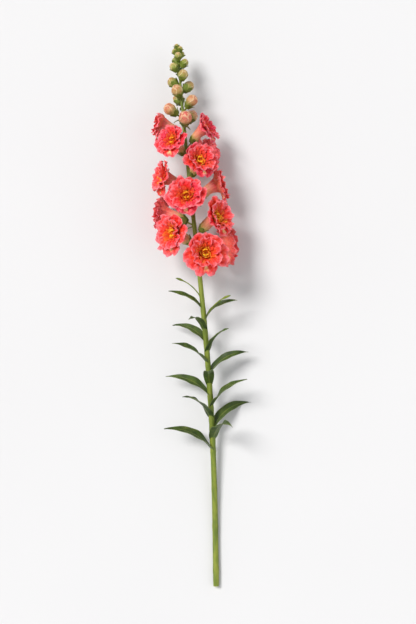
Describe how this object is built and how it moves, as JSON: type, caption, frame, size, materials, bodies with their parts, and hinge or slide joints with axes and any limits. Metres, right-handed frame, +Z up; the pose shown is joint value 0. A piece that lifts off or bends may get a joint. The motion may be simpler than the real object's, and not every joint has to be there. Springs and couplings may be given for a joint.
{
  "type": "snapdragon stem",
  "caption": "Cut snapdragon stem lying on its side: a spike of ruffled double coral flowers that closes to green buds at the tip, over narrow leaves and a bare round stem.",
  "frame": {"origin": "middle of the overall box, at the surface that the stem lies on", "axes": "+Y along the stem from its cut end to the tip of the spike, +Z up from the surface"},
  "size_m": [0.0952, 0.5942, 0.0794],
  "materials": {
    "stem_green": "soft green stem, leaf and sepal with fine hairs",
    "coral_petal": "soft satin petal, coral pink",
    "heart_orange": "soft satin petal, orange with yellow rims",
    "bud_peach": "matt closed bud, peach with darker veins"
  },
  "bodies": {
    "root": {"leafy_stem": "stem_green", "bloom_01": "coral_petal", "bloom_02": "coral_petal", "bloom_03": "coral_petal", "bloom_04": "coral_petal", "bloom_05": "coral_petal", "bloom_06": "coral_petal", "bloom_07": "coral_petal", "bloom_08": "coral_petal", "bloom_09": "coral_petal", "bloom_10": "coral_petal", "bloom_11": "coral_petal", "bloom_12": "coral_petal", "bloom_13": "coral_petal", "heart_01": "heart_orange", "heart_02": "heart_orange", "heart_03": "heart_orange", "heart_04": "heart_orange", "heart_05": "heart_orange", "heart_06": "heart_orange", "heart_07": "heart_orange", "heart_08": "heart_orange", "heart_09": "heart_orange", "heart_10": "heart_orange", "heart_11": "heart_orange", "heart_12": "heart_orange", "heart_13": "heart_orange", "bud_01": "bud_peach", "bud_02": "bud_peach", "bud_03": "bud_peach", "bud_04": "bud_peach", "bud_05": "bud_peach"}
  },
  "joints": []
}
